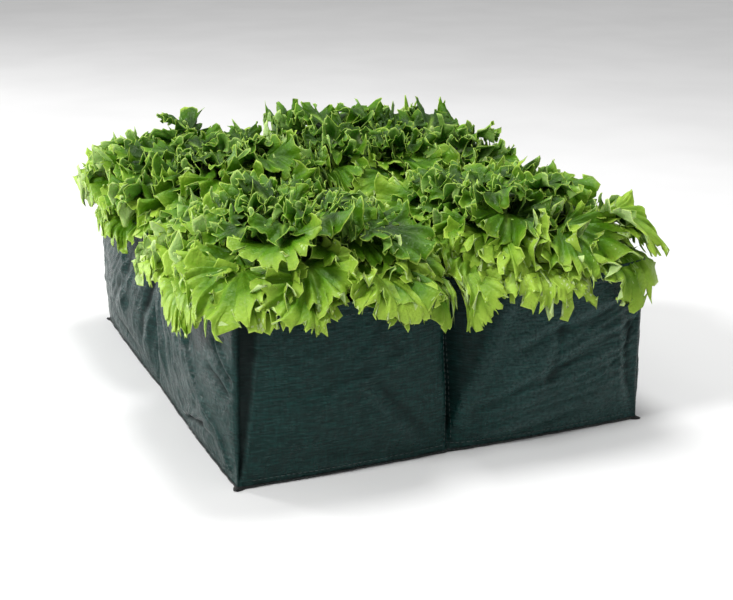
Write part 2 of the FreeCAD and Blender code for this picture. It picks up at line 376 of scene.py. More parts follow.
def leaf_material(name, deep, green, fresh, pale, rim, roughness=0.45):
    """A lettuce leaf: painted shade makes it darker towards the stem and fresher at the ruffles; pale ribs
    and thin edges.
    """
    nodes = Nodes(name)
    tone, margin, vein, rib = (nodes.attribute(key) for key in ("tone", "margin", "vein", "rib"))
    place = nodes.place()
    blotch = nodes.noise(place, 60.0, 4.0, 0.6)
    fine = nodes.noise(place, 420.0, 3.0, 0.6)
    amount = nodes.sums("ADD", nodes.sums("MULTIPLY", tone, 0.8), nodes.sums("MULTIPLY", blotch, 0.5))
    # Painted shade: the leaf is darker towards the stem and lighter out towards its margin.
    outward = nodes.spread(margin, 0.5, 1.0)
    amount = nodes.sums("ADD", amount, nodes.sums("MULTIPLY", outward, 0.45))
    color = nodes.ramp(nodes.spread(amount, 0.3, 1.6), (0.0, deep), (0.45, green), (1.0, fresh))
    color = nodes.mix(nodes.sums("MULTIPLY", vein, 0.32), color, pale)
    color = nodes.mix(nodes.sums("MULTIPLY", rib, 0.8), color, pale)
    color = nodes.mix(nodes.sums("MULTIPLY", nodes.spread(margin, 0.955, 1.0), 0.7), color, rim)
    rough = nodes.spread(fine, 0.3, 0.7, roughness - 0.08, roughness + 0.1)
    pucker = nodes.sums("SUBTRACT", nodes.noise(place, 190.0, 2.0), nodes.sums("MULTIPLY", vein, 0.6))
    normal = nodes.bump(pucker, 0.0022, 0.8)
    normal = nodes.bump(fine, 0.0003, 0.5, normal)
    return nodes.finish(Base_Color=color, Roughness=rough, Normal=normal, Specular_IOR_Level=0.2,
                        Subsurface_Weight=0.1, Subsurface_Radius=(0.5, 1.0, 0.2),
                        Subsurface_Scale=0.002)


def soil_material(name, dark, light, fleck):
    nodes = Nodes(name)
    place = nodes.place()
    clods = nodes.noise(place, 140.0, 5.0, 0.7)
    grains = nodes.noise(place, 900.0, 3.0, 0.7)
    color = nodes.mix(nodes.spread(clods, 0.35, 0.7), dark, light)
    color = nodes.mix(nodes.spread(grains, 0.66, 0.74), color, fleck)
    height = nodes.sums("ADD", clods, nodes.sums("MULTIPLY", grains, 0.3))
    return nodes.finish(Base_Color=color, Normal=nodes.bump(height, 0.004, 1.0),
                        Roughness=nodes.spread(grains, 0.3, 0.7, 0.8, 1.0))


def thread_material(name, color, darker):
    nodes = Nodes(name)
    twist = nodes.noise(nodes.place(), 1800.0, 2.0)
    mixed = nodes.mix(nodes.spread(twist, 0.35, 0.65), darker, color)
    return nodes.finish(Base_Color=mixed, Roughness=nodes.spread(twist, 0.3, 0.7, 0.55, 0.75),
                        Normal=nodes.bump(twist, 0.0002, 0.8))


def stem_material(name):
    nodes = Nodes(name)
    place = nodes.place()
    streak = nodes.noise(place, 160.0, 4.0)
    color = nodes.mix(nodes.spread(streak, 0.3, 0.7), (0.42, 0.5, 0.2), (0.66, 0.7, 0.44))
    return nodes.finish(Base_Color=color, Roughness=nodes.spread(streak, 0.3, 0.7, 0.4, 0.55),
                        Normal=nodes.bump(streak, 0.0015, 0.6), Subsurface_Weight=0.2,
                        Subsurface_Scale=0.003)


CLOTH_GREEN = woven_material("woven_cloth", (0.001, 0.015, 0.013), (0.007, 0.046, 0.040),
                             (0.06, 0.12, 0.115), 2.4 * MM, 0.34, 0.31, 0.0, 0.17)
TAPE_BLACK = woven_material("binding_tape", (0.004, 0.005, 0.005), (0.012, 0.014, 0.014),
                            (0.05, 0.055, 0.055), 1.2 * MM, 0.15, 0.7, 0.15)
FRAYED = woven_material("frayed_edge", (0.05, 0.075, 0.075), (0.14, 0.18, 0.18),
                        (0.35, 0.4, 0.4), 1.6 * MM, 0.8, 0.7, 0.2)
THREAD = thread_material("stitching_thread", (0.07, 0.095, 0.09), (0.03, 0.045, 0.043))
SOIL = soil_material("potting_mix", (0.006, 0.004, 0.003), (0.035, 0.022, 0.014), (0.16, 0.12, 0.08))
PLUG_SOIL = soil_material("root_plug_soil", (0.012, 0.008, 0.005), (0.05, 0.032, 0.02), (0.2, 0.16, 0.11))
ROOT = thread_material("fine_roots", (0.62, 0.56, 0.42), (0.36, 0.3, 0.2))
STEM = stem_material("lettuce_stem")
LEAF_TOP = leaf_material("leaf_upper_face", (0.014, 0.050, 0.001), (0.075, 0.20, 0.004),
                         (0.33, 0.51, 0.05), (0.24, 0.42, 0.05), (0.48, 0.66, 0.10))
LEAF_UNDER = leaf_material("leaf_under_face", (0.06, 0.15, 0.015), (0.22, 0.40, 0.07),
                           (0.5, 0.66, 0.26), (0.5, 0.6, 0.32), (0.52, 0.68, 0.18), 0.55)
LEAF_RIM = leaf_material("leaf_edge", (0.2, 0.36, 0.03), (0.34, 0.55, 0.06),
                         (0.5, 0.7, 0.14), (0.45, 0.62, 0.15), (0.46, 0.66, 0.1))
LEAF_MATERIALS = [LEAF_TOP, LEAF_UNDER, LEAF_RIM]
LEAF_KEYS = ("tone", "margin", "vein", "rib")
CLOTH_KEYS = ("along", "height", "wear")


# ---------------------------------------------------------------- the filled bag's shape

# Each side: the direction along it, the direction out of it, and its two half sizes.
FRAMES = {
    "front": ((1, 0), (0, -1), HALF_WIDTH, HALF_DEPTH),
    "right": ((0, 1), (1, 0), HALF_DEPTH, HALF_WIDTH),
    "back": ((-1, 0), (0, 1), HALF_WIDTH, HALF_DEPTH),
    "left": ((0, -1), (-1, 0), HALF_DEPTH, HALF_WIDTH),
}
BELLY_BOW = 17 * MM
RIM_PINCH = 27 * MM
CORNER_RADIUS = 8 * MM

# Creases in the filled cloth, in millimetres along the side and above the ground:
# start, end, half width, depth (negative for a ridge).
CREASES = {
    "front": [
        *[((18 + 17 * row, 24 + 13 * row), (252, 58 + 15 * row), 3.5, 1.5) for row in range(9)],
        *[((150 + 12 * row, 40 + 8 * row), (252, 66 + 15 * row), 2.2, 0.9) for row in range(8)],
        ((20, 44), (244, 128), 7, 2.8),
        ((30, 6), (180, 26), 7, 2.4),
        ((60, 112), (246, 160), 7, 2.6),
        ((-14, 18), (-110, 120), 12, 2.6),
        ((-20, 8), (-170, 30), 9, 1.8),
        ((-40, 150), (-180, 96), 9, 1.8),
        ((240, 20), (225, 150), 8, 3.0),
        ((120, 60), (140, 150), 9, 2.2),
    ],
    "left": [
        ((112, 196), (160, 110), 5, 9.0),
        ((156, 116), (252, 48), 5, 9.0),
        ((248, 54), (278, 6), 4, 7.0),
        ((244, 156), (296, 120), 4, 6.4),
        ((236, 128), (290, 96), 5, 3.4),
        ((116, 14), (212, 46), 5, 5.6),
        ((150, 30), (240, 34), 5, 2.6),
        ((20, 190), (60, 30), 8, -3.6),
        ((48, 190), (110, 60), 7, 3.4),
        ((74, 190), (200, 96), 6, -3.2),
        ((-24, 180), (-70, 40), 9, 4.0),
        ((-60, 190), (-170, 70), 9, 3.4),
        ((-90, 20), (-250, 60), 8, 3.0),
        ((-240, 170), (-290, 60), 8, 3.4),
        ((-130, 190), (-120, 60), 7, -2.6),
    ],
    "right": [
        ((-12, 30), (-150, 140), 10, 3.4),
        ((-30, 12), (-240, 70), 8, 2.8),
        ((14, 20), (170, 120), 11, -3.4),
        ((40, 10), (260, 60), 8, 2.8),
        ((-285, 20), (-240, 170), 8, 3.6),
        ((288, 30), (246, 160), 8, 3.2),
        ((-90, 190), (-60, 60), 8, 2.6),
    ],
    "back": [
        ((8, 18), (140, 130), 11, 3.4),
        ((-10, 24), (-130, 150), 9, -3.4),
        ((-30, 10), (-220, 50), 8, 2.8),
        ((240, 16), (214, 170), 8, 3.4),
        ((-244, 20), (-220, 160), 8, 3.0),
        ((90, 190), (60, 70), 8, 2.4),
    ],
}


def seam_place(side):
    """Where the divider's seam meets a side, a little off the middle on the left wall."""
    return -8 * MM if side == "left" else 0.0


def crease_fields(side, along, height):
    """How far the creases push the cloth out, how worn it is along their shoulders, and the painted shade
    (below 0) in their valleys.
    """
    out = np.zeros(np.shape(along))
    wear = np.zeros(np.shape(along))
    for (a0, h0), (a1, h1), width, depth in CREASES[side]:
        start = np.array([a0, h0]) * MM
        run = np.array([a1, h1]) * MM - start
        length = np.linalg.norm(run)
        direction = run / length
        wander = 3.5 * MM * smooth_noise(np.stack([along, height, along * 0], -1), 30 * MM, a0 + 500)
        travelled = (along - start[0]) * direction[0] + (height - start[1]) * direction[1]
        aside = (along - start[0]) * -direction[1] + (height - start[1]) * direction[0] + wander
        taper = smoothstep(travelled, -0.1 * length, 0.25 * length)
        taper *= 1 - smoothstep(travelled, 0.75 * length, 1.1 * length)
        half = width * MM
        valley = np.exp(-np.abs(aside / half) ** 1.4)
        shoulder = np.exp(-(((aside - 1.8 * half) / (0.9 * half)) ** 2))
        out -= depth * MM * taper * (valley - 0.55 * shoulder)
        line = taper * min(1, abs(depth) / 8)
        # Worn lighter along each crease's shoulder; the negative valley term is painted shade in the
        # crease itself.
        wear += line * (0.6 * np.exp(-(((aside - 1.3 * half) / (0.4 * half)) ** 2))
                        - 0.9 * np.exp(-((aside / (0.5 * half)) ** 2)) * (depth > 0))
    return out, wear


def corner_fold(side, along, height):
    """The slack fold beside the front wall's left corner, from 0 to 1, wider towards the rim."""
    if side != "front":
        return np.zeros(np.shape(along))
    share = np.clip(height / RIM, 0, 1)
    left = -HALF_WIDTH + 1 * MM
    right = left + (2 + 27 * share**0.8) * MM
    across = (along - left) / (right - left)
    return smoothstep(across, 0, 0.3) * (1 - smoothstep(across, 0.84, 1.0)) * smoothstep(share, 0, 0.15)


def seam_fold(side, along, height):
    """The wedge of slack cloth tucked in to the right of the front seam, and its swollen edge."""
    if side != "front":
        return np.zeros(np.shape(along)), np.zeros(np.shape(along))
    edge = (2 + 47 * np.clip((height - 14 * MM) / (131 * MM), 0, 1.4) ** 1.4) * MM
    inside = smoothstep(along, -1.5 * MM, 1.5 * MM) * np.clip(1 - along / edge, 0, 1) ** 0.7
    swell = np.exp(-(((along - edge - 9 * MM) / (9 * MM)) ** 2)) * smoothstep(height, 14 * MM, 50 * MM)
    return inside * smoothstep(height, 8 * MM, 40 * MM), swell


def crumple(place, scale, seed):
    """Sharp-ridged noise, about 0 on average, for cloth that has been crushed."""
    ridges = 1 - 2 * np.abs(smooth_noise(place, scale, seed))
    finer = 1 - 2 * np.abs(smooth_noise(place, np.asarray(scale) * 0.47, seed + 50))
    return 0.65 * ridges + 0.35 * finer


def wall_shape(side, along, height):
    """How far the filled wall stands out from its straight base line, and its wear with painted shade
    (below 0) in its creases, tucks and folds.
    """
    _, _, half_length, _ = FRAMES[side]
    from_seam = along - seam_place(side)
    share = np.clip(height / RIM, 0, 1.05)
    across = np.clip(np.abs(from_seam) / half_length, 0, 1)
    filling = np.where(share < 0.42, 0.1 + 0.9 * np.sin(np.pi / 2 * np.clip(share / 0.42, 0, 1)),
                       1 - 0.35 * smoothstep(share, 0.42, 1))
    out = BELLY_BOW * filling * (1 - np.abs(2 * across - 1) ** 2.6)
    open_side = from_seam > 0 if side in ("front", "right") else from_seam < 0
    gentle = (48 if side == "left" else 30) * MM
    pull = np.where(open_side, gentle, 9 * MM) * (0.18 + 0.82 * share)
    foot = smoothstep(height, 0, 14 * MM)
    out -= RIM_PINCH * (0.24 * foot + 0.76 * share**0.9) * np.exp(-((np.abs(from_seam) / pull) ** 1.3))
    seed = 11 + SIDES.index(side) * 7
    crushed = {"front": 0.6, "left": 1.3, "right": 1.0, "back": 0.8}[side]
    place = np.stack([along, height, np.zeros_like(along)], -1)
    soft = 2.6 * MM * layered_noise(place, 85 * MM, seed)
    drop = RIM + 70 * MM - height
    fan = np.stack([np.arctan2(from_seam, drop) * 230 * MM, np.hypot(from_seam, drop), along * 0], -1)
    gathers = 1.7 * MM * crumple(fan, (13 * MM, 120 * MM, 1), seed + 1)
    gathers = gathers * (0.3 + 0.7 * smoothstep(share, 0.25, 1))
    dents = 1.1 * MM * crumple(place, 34 * MM, seed + 2)
    crinkle = 0.5 * MM * crumple(fan, (6 * MM, 34 * MM, 1), seed + 5)
    streaks = 0.25 * MM * smooth_noise(place, (60 * MM, 5 * MM, 1), seed + 3)
    pucker = 0.7 * MM * smooth_noise(place, (7 * MM, 26 * MM, 1), seed + 4) * np.exp(-height / (12 * MM))
    creases, wear = crease_fields(side, along, height)
    corner = smoothstep(half_length - np.abs(along), 0, 12 * MM)
    crushed = crushed * (1 - 0.6 * smoothstep(along, 279 * MM - 0.9 * height, 290 * MM - 0.9 * height))
    folds = creases + crushed * (gathers + dents + crinkle)
    slack = corner_fold(side, along, height)
    tuck, swell = seam_fold(side, along, height)
    out += (soft + streaks + folds) * corner * foot + pucker * corner
    out += (3 * swell - 7 * tuck - 6 * slack) * MM
    # The crumpled ridges wear lighter; the 0.2 * swell term is a painted highlight along the swollen edge
    # beside the front seam.
    wear = wear + 0.25 * crushed * smoothstep(gathers + crinkle, 1.2 * MM, 2.0 * MM) + 0.2 * swell
    # Painted shade in crease valleys and in the tucked wedge by the seam, and a darker line along the seam
    # itself.
    deep = smoothstep(-folds, 0.8 * MM, 5.5 * MM) + 0.5 * smoothstep(tuck, 0, 0.4)
    deep = deep + 0.8 * np.exp(-((from_seam / (3 * MM)) ** 2)) * smoothstep(share, 0.04, 0.2)
    if side == "front":
        wear = wear + 0.35 * smoothstep(from_seam, 20 * MM, 90 * MM)
    # Painted shade: the corner fold is taken off the wear, which darkens the cloth there.
    return out, np.clip((wear - deep) * corner - slack, -1, 1)


def wall_grid(side, heights, offsets, steps=290, bend_steps=5):
    """Points on a side's cloth, round to the middle of both its corners, with its fields."""
    tangent, outward, half_length, half_out = FRAMES[side]
    tangent, outward = np.array([*tangent, 0.0]), np.array([*outward, 0.0])
    heights = np.asarray(heights, float)[:, None]
    offsets = np.asarray(offsets, float)[:, None]
    radius = CORNER_RADIUS * (0.3 + 0.7 * smoothstep(heights, 0, 60 * MM))
    bend = np.linspace(0, np.pi / 4, bend_steps + 1)[1:]
    turn = np.concatenate([-bend[::-1], np.zeros(steps), bend])[None, :]
    straight = np.concatenate([np.full(bend_steps, -1.0), np.linspace(-1, 1, steps),
                               np.full(bend_steps, 1.0)])[None, :]
    along = straight * (half_length - radius)
    reach = along + turn * radius
    out, wear = wall_shape(side, reach, np.broadcast_to(heights, reach.shape))
    away = radius + out + offsets
    direction = np.sin(turn)[..., None] * tangent + np.cos(turn)[..., None] * outward
    centre = along[..., None] * tangent + (half_out - radius)[..., None] * outward
    points = centre + direction * away[..., None]
    points[..., 2] = np.broadcast_to(heights, reach.shape)
    return points, reach, wear


def wall_line(side, alongs, height, offset):
    """Points and outward directions on a side's cloth at one height."""
    tangent, outward, _, half_out = FRAMES[side]
    alongs = np.asarray(alongs, float)
    out, _ = wall_shape(side, alongs, np.full(alongs.shape, height))
    points = np.zeros((*alongs.shape, 3))
    points[..., :2] = alongs[..., None] * np.array(tangent)
    points[..., :2] += (half_out + out + offset)[..., None] * np.array(outward)
    points[..., 2] = height
    return points, np.broadcast_to(np.array([*outward, 0.0]), points.shape)


def cloth_band(name, side, heights, offsets, thickness, material, slot, node):
    """A band of cloth or tape along a side, standing for a node; offsets are out of the wall."""
    points, along, wear = wall_grid(side, heights, offsets)
    run = np.concatenate([[0], np.cumsum(np.hypot(np.diff(heights), np.diff(offsets)))])
    shells = Shells()
    shells.add(points, thickness, along=along, height=(heights[0] + run)[:, None], wear=wear)
    piece = shells.build(name, [material], CLOTH_KEYS)
    attach(piece, "bag", slot, node)
    return piece


def make_walls():
    """The four wall panels, with closer rows near the base seam."""
    heights = np.concatenate([np.linspace(0.9 * MM, 13 * MM, 9), np.linspace(15 * MM, RIM - MM, 90)])
    for side in SIDES:
        piece = cloth_band(f"cloth_wall_{side}", side, heights, np.zeros(len(heights)), CLOTH,
                           CLOTH_GREEN, "woven_cloth", f"wall_{side}")


def make_rim_hems():
    """Each wall's upper edge, turned over the rim as a narrow double band."""
    outside = np.linspace(RIM - HEM_HEIGHT, RIM - 1.5 * MM, 7)
    inside = np.linspace(RIM - 1.5 * MM, RIM - HEM_HEIGHT + 2 * MM, 6)
    heights = np.concatenate([outside, [RIM - 0.3 * MM, RIM, RIM - 0.3 * MM], inside])
    offsets = np.concatenate([np.full(7, 0.9), [0.6, -0.2, -1.1], np.full(6, -1.5)]) * MM
    for side in SIDES:
        piece = cloth_band(f"hem_band_{side}", side, heights, offsets, 0.45 * MM, CLOTH_GREEN,
                           "woven_cloth", f"rim_hem_{side}")


def make_base_binding():
    """Tape folded round the base seam, up the wall and under the base."""
    heights = np.array([0.62 * BINDING_HEIGHT, 2.9 * MM, 2 * MM, 1.1 * MM, 0.5 * MM, 0.2 * MM, 0.2 * MM])
    offsets = np.array([0.5, 1.0, 1.2, 1.1, 0.7, -2.0, -7.0]) * MM
    for side in SIDES:
        piece = cloth_band(f"seam_tape_{side}", side, heights[::-1], offsets[::-1], 0.15 * MM,
                           TAPE_BLACK, "binding_tape", f"base_binding_{side}")


def make_corner_tabs():
    """The binding's folded ends, which stick out a little at the four corners of the base."""
    share = np.linspace(0, 1, 9)[:, None]
    side = np.linspace(-1, 1, 11)[None, :]
    out = (12 * share - 4) * MM
    width = (7 - 5 * share**2) * MM
    for pocket, (sx, sy) in POCKETS.items():
        away, along = np.array([sx, sy]) / math.sqrt(2), np.array([-sy, sx]) / math.sqrt(2)
        points = np.zeros((9, 11, 3))
        points[..., :2] = out[..., None] * away - (side * width)[..., None] * along
        points[..., :2] += np.array([sx, sy]) * [HALF_WIDTH - 2 * MM, HALF_DEPTH - 2 * MM]
        points[..., 2] = (0.8 + 2.6 * (1 - np.abs(side)) ** 0.7 * (1 - 0.5 * share)) * MM
        shells = Shells()
        shells.add(points, 0.3 * MM, along=out, height=side * 7 * MM)
        piece = shells.build(f"tape_end_{pocket}", [TAPE_BLACK], CLOTH_KEYS)
        attach(piece, "bag", "binding_tape")


def make_base_cloth():
    """The flat base, a little uneven where it lies."""
    columns, rows = 90, 108
    inset = 1.5 * MM
    x, y = np.meshgrid(np.linspace(-1, 1, columns) * (HALF_WIDTH - inset),
                       np.linspace(1, -1, rows) * (HALF_DEPTH - inset))
    place = np.stack([x, y, x * 0], -1)
    z = 0.55 * MM + 0.2 * MM * layered_noise(place, 60 * MM, 301)
    shells = Shells()
    shells.add(np.stack([x, y, z], -1), 0.3 * MM, along=x, height=y)
    piece = shells.build("base_cloth", [CLOTH_GREEN], CLOTH_KEYS)
    attach(piece, "bag", "woven_cloth", "base_panel")


def seam_reach(side, height, inset):
    """Distance out from the middle to a side's cloth, where the divider is sewn to it."""
    heights = np.asarray(height, float)
    alongs = np.full(heights.shape, seam_place(side))
    out, _ = wall_shape(side, alongs, heights)
    return FRAMES[side][3] + out - inset


def make_dividers():
    """Upright cloth between the pockets, hemmed along the top."""
    heights = np.concatenate([np.linspace(1.2 * MM, DIVIDER_TOP - 14 * MM, 40),
                              np.linspace(DIVIDER_TOP - 12 * MM, DIVIDER_TOP, 6)])[:, None]
    thick = np.where(heights > DIVIDER_TOP - 13 * MM, 1.5 * MM, CLOTH)
    inset = 1.4 * MM
    runs = {
        "divider_long": (-seam_reach("front", heights, inset), seam_reach("back", heights, inset), 1, 150),
        "divider_short_right": (0 * heights + MM, seam_reach("right", heights, inset), 0, 70),
        "divider_short_left": (-seam_reach("left", heights, inset), 0 * heights - 1.6 * MM, 0, 70),
    }
    for number, (node, (low, high, axis, steps)) in enumerate(runs.items()):
        share = np.linspace(0, 1, steps)[None, :]
        along = low + (high - low) * share
        tall = np.broadcast_to(heights, along.shape)
        place = np.stack([along, tall, along * 0], -1)
        ends = np.clip(np.minimum(share, 1 - share) / 0.12, 0, 1)
        wave = 2.2 * MM * layered_noise(place, 60 * MM, 401 + number) * ends
        pleats = 1.2 * MM * smooth_noise(place, (11 * MM, 90 * MM, 1), 411 + number)
        wave = wave + pleats * ends * (tall / RIM)
        across = 0.3 * MM + np.clip(wave, -2.4 * MM, 2.4 * MM)
        points = np.stack([across, along, tall] if axis else [along, -across, tall], -1)
        shells = Shells()
        shells.add(points, thick, along=along, height=tall, wear=0.4 * (tall > DIVIDER_TOP - 2 * MM))
        piece = shells.build(f"cloth_{node}", [CLOTH_GREEN], CLOTH_KEYS)
        attach(piece, "bag", "woven_cloth", node)


def make_seam_allowances():
    """The raw edge of each divider, sewn through the wall and frayed where it stands out."""
    lowest, strands = 100 * MM, 5
    heights = np.linspace(lowest, RIM - HEM_HEIGHT - 2 * MM, 50)
    upright = np.stack([heights, heights * 0, heights * 0], -1)
    edge = 4.5 * MM * smoothstep(heights, lowest, lowest + 40 * MM)
    edge = edge + 0.9 * MM * smooth_noise(upright, 5 * MM, 77)
    lean = 1.2 * MM * smooth_noise(upright, 22 * MM, 78)
    for side in SIDES:
        tangent, outward, _, _ = FRAMES[side]
        reach = seam_reach(side, heights, 0.0)[:, None] + edge[:, None] * np.linspace(-0.2, 1, strands)
        aside = seam_place(side) + lean[:, None] * np.linspace(0, 1, strands)
        points = np.zeros((*reach.shape, 3))
        points[..., :2] = reach[..., None] * np.array(outward) + aside[..., None] * np.array(tangent)
        points[..., 2] = heights[:, None]
        shells = Shells()
        shells.add(points, CLOTH, along=reach, height=heights[:, None], wear=1.0)
        piece = shells.build(f"seam_allowance_{side}", [FRAYED], CLOTH_KEYS)
        attach(piece, "bag", "woven_cloth")


# ---------------------------------------------------------------- stitching

def rods(starts, ends, outward, radius, sides=6):
    """Short rounded rods from starts to ends, bowed out a little, as arrays for one mesh."""
    rings = np.array([0.0, 0.12, 0.5, 0.88, 1.0])
    swell = np.array([0.35, 0.85, 1.0, 0.85, 0.35])
    lift = np.array([-0.5, 0.3, 0.6, 0.3, -0.5])
    direction = unit(ends - starts)
    side = unit(np.cross(direction, outward))
    top = np.cross(side, direction)
    turn = np.linspace(0, 2 * np.pi, sides, endpoint=False)
    circle = np.cos(turn)[:, None, None] * side + np.sin(turn)[:, None, None] * top
    vertices = []
    for share, fat, up in zip(rings, swell, lift):
        middle = starts + (ends - starts) * share + top * radius * up
        vertices.append(middle[None] + circle * radius * fat)
    vertices = np.stack(vertices).transpose(2, 0, 1, 3)
    count, levels = vertices.shape[:2]
    faces = []
    for level in range(levels - 1):
        for index in range(sides):
            after = (index + 1) % sides
            faces.append([level * sides + index, level * sides + after,
                          (level + 1) * sides + after, (level + 1) * sides + index])
    base = np.arange(count)[:, None, None] * levels * sides
    return vertices.reshape(-1, 3), (np.array(faces)[None] + base).reshape(-1, 4)


def sew(name, rows, length=4.2 * MM, gap=2.2 * MM, radius=0.42 * MM):
    """Rows of stitches; each row is a dense line of points and the way out of the cloth."""
    starts, ends, outs = [], [], []
    for points, outward in rows:
        steps = np.linalg.norm(np.diff(points, axis=0), axis=1)
        run = np.concatenate([[0], np.cumsum(steps)])
        firsts = np.arange(gap, run[-1] - length, length + gap)
        for marks, store in ((firsts, starts), (firsts + length, ends)):
            store.append(np.stack([np.interp(marks, run, points[:, axis]) for axis in range(3)], -1))
        outs.append(np.stack([np.interp(firsts, run, outward[:, axis]) for axis in range(3)], -1))
    vertices, faces = rods(np.concatenate(starts), np.concatenate(ends), np.concatenate(outs), radius)
    piece = mesh_piece(name, vertices, faces, [THREAD])
    attach(piece, "bag", "woven_cloth")


def make_stitching():
    """Rows of stitches under the hem, over the base seam, beside each divider and on the tape."""
    for side in SIDES:
        half_length = FRAMES[side][2]
        alongs = np.linspace(-half_length + 14 * MM, half_length - 14 * MM, 500)
        rows = [wall_line(side, alongs, RIM - HEM_HEIGHT + 3.5 * MM, 1.1 * MM),
                wall_line(side, alongs, BINDING_HEIGHT + 3.5 * MM, 0.25 * MM)]
        heights = np.linspace(12 * MM, RIM - HEM_HEIGHT - 3 * MM, 200)
        for offset in (-5 * MM, 5 * MM):
            line = [wall_line(side, np.array([seam_place(side) + offset]), h, 0.25 * MM) for h in heights]
            rows.append((np.concatenate([p for p, _ in line]), np.concatenate([o for _, o in line])))
        sew(f"stitches_{side}", rows)
        tape = wall_line(side, alongs, 2.9 * MM, 2.0 * MM)
        sew(f"tape_stitches_{side}", [tape], 3 * MM, 2 * MM, 0.3 * MM)


# ---------------------------------------------------------------- potting mix, plugs and stems

def pocket_grid(signs, u, v, height, inset):
    """Points that fill a pocket, from its two dividers (0) out to its two walls (1)."""
    sx, sy = signs
    side = "right" if sx > 0 else "left"
    end = "back" if sy > 0 else "front"
    rough_y = sy * v * HALF_DEPTH
    along_side = rough_y if sx > 0 else -rough_y
    reach_x = HALF_WIDTH + wall_shape(side, along_side, np.full(u.shape, height))[0] - inset
    x = sx * (2.6 * MM + u * (reach_x - 2.6 * MM))
    along_end = -x if sy > 0 else x
    reach_y = HALF_DEPTH + wall_shape(end, along_end, np.full(u.shape, height))[0] - inset
    y = sy * (2.6 * MM + v * (reach_y - 2.6 * MM))
    return x, y


def head_centre(signs):
    return np.array([signs[0] * HALF_WIDTH / 2, signs[1] * HALF_DEPTH / 2])


def make_potting_mix():
    """The lumpy filling of each pocket, with its planting hole."""
    low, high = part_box("lettuce_front_left_root_plug")
    hole_radius = (high[0] - low[0]) / 2 + 1.5 * MM
    hole_floor = low[2] - 1.5 * MM
    for number, (pocket, signs) in enumerate(POCKETS.items()):
        share = np.linspace(0, 1, 120)
        u, v = np.meshgrid(share, share[::-1] if signs[0] * signs[1] > 0 else share)
        x, y = pocket_grid(signs, u, v, MIX_TOP, 4.5 * MM)
        place = np.stack([x, y, x * 0], -1)
        lumps = 2.6 * MM * layered_noise(place, 34 * MM, 501 + number, 4)
        lumps += 1.3 * MM * layered_noise(place, 5 * MM, 521 + number, 3)
        away = np.hypot(*(place[..., :2] - head_centre(signs)).transpose(2, 0, 1))
        dip = smoothstep(away, hole_radius - 3 * MM, hole_radius + 2 * MM)
        z = hole_floor + (MIX_TOP - 1 * MM + lumps - hole_floor) * dip
        bx, by = pocket_grid(signs, u, v, 2 * MM, 16 * MM)
        top = np.stack([x, y, z], -1)
        bottom = np.stack([bx, by, np.full(x.shape, 2 * MM)], -1)
        if grid_normals(top)[..., 2].mean() < 0:
            top, bottom = top[::-1], bottom[::-1]
        rows, columns = u.shape
        quads = grid_quads(rows, columns)
        faces = np.concatenate([quads, quads[:, ::-1] + rows * columns, grid_rim(rows, columns)])
        piece = mesh_piece(f"mix_{pocket}", np.concatenate([top.reshape(-1, 3), bottom.reshape(-1, 3)]),
                           faces, [SOIL])
        attach(piece, "bag", "potting_mix", f"potting_mix_{pocket}")
        scatter_crumbs(pocket, signs, hole_radius, number)


def icosahedron():
    golden = (1 + math.sqrt(5)) / 2
    corners = [(-1, golden, 0), (1, golden, 0), (-1, -golden, 0), (1, -golden, 0), (0, -1, golden),
               (0, 1, golden), (0, -1, -golden), (0, 1, -golden), (golden, 0, -1), (golden, 0, 1),
               (-golden, 0, -1), (-golden, 0, 1)]
    faces = [(0, 11, 5), (0, 5, 1), (0, 1, 7), (0, 7, 10), (0, 10, 11), (1, 5, 9), (5, 11, 4), (11, 10, 2),
             (10, 7, 6), (7, 1, 8), (3, 9, 4), (3, 4, 2), (3, 2, 6), (3, 6, 8), (3, 8, 9), (4, 9, 5),
             (2, 4, 11), (6, 2, 10), (8, 6, 7), (9, 8, 1)]
    return unit(np.array(corners)), np.array(faces)


def scatter_crumbs(pocket, signs, hole_radius, number):
    """Loose crumbs and bark chips lying on the mix."""
    random = np.random.default_rng(700 + number)
    corners, faces = icosahedron()
    wanted = 420
    u, v = random.uniform(0.02, 0.98, (2, wanted))
    x, y = pocket_grid(signs, u, v, MIX_TOP, 8 * MM)
    centre = head_centre(signs)
    clear = np.hypot(x - centre[0], y - centre[1]) > hole_radius + 5 * MM
    x, y = x[clear], y[clear]
    size = random.uniform(1.2, 4.2, len(x)) * MM
    stretch = random.uniform(0.5, 1.5, (len(x), 1, 3))
    rough = corners[None] * random.uniform(0.75, 1.25, (len(x), 12, 1)) * stretch * size[:, None, None]
    vertices = rough + np.stack([x, y, np.full(len(x), MIX_TOP + 0.8 * MM)], -1)[:, None]
    all_faces = faces[None] + np.arange(len(x))[:, None, None] * len(corners)
    piece = mesh_piece(f"crumbs_{pocket}", vertices.reshape(-1, 3), all_faces.reshape(-1, 3), [SOIL],
                       smooth=False)
    attach(piece, "bag", "potting_mix")


